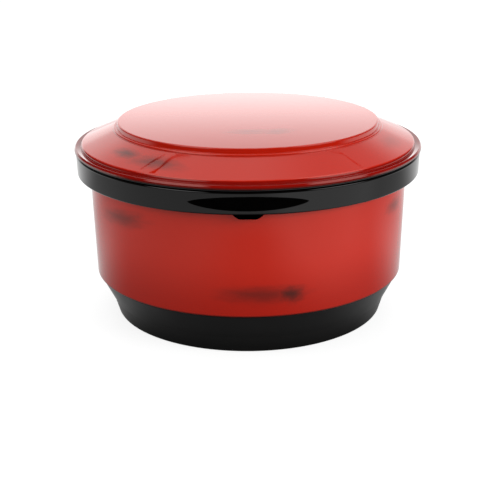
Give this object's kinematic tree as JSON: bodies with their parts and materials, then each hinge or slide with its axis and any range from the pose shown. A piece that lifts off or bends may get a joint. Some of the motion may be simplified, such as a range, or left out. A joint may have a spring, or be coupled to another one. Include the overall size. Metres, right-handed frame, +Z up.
{
  "type": "lidded rice serving bowl",
  "caption": "Round lidded rice server: red drum on a black foot, black rim band with a finger tab, and a lift-off red lid with a flat top over a black inner bowl.",
  "frame": {"origin": "on the table, under the middle of the foot", "axes": "+Z up along the bowl's axis, the finger tab faces -Y, +X to the right seen from the tab"},
  "size_m": [0.212, 0.212, 0.1191],
  "materials": {
    "black_base": "black lacquer look, gloss with a soft satin haze",
    "red_drum": "vermilion lacquer look, gloss, with soft black clouds showing through",
    "black_bowl": "black lacquer look, gloss",
    "black_band": "black lacquer look, high gloss",
    "black_liner": "black lacquer look, gloss",
    "red_lid": "vermilion lacquer look, gloss, with soft black clouds showing through"
  },
  "bodies": {
    "bowl": {"base_cup": "black_base", "outer_shell": "red_drum", "inner_bowl": "black_bowl", "rim_band": "black_band"},
    "lid": {"lid_liner": "black_liner", "lid_shell": "red_lid"}
  },
  "joints": [
    {"name": "lid_lift", "type": "slide", "parent": "bowl", "child": "lid", "axis": [0, 0, 1], "range_m": [0, 0.12]}
  ]
}
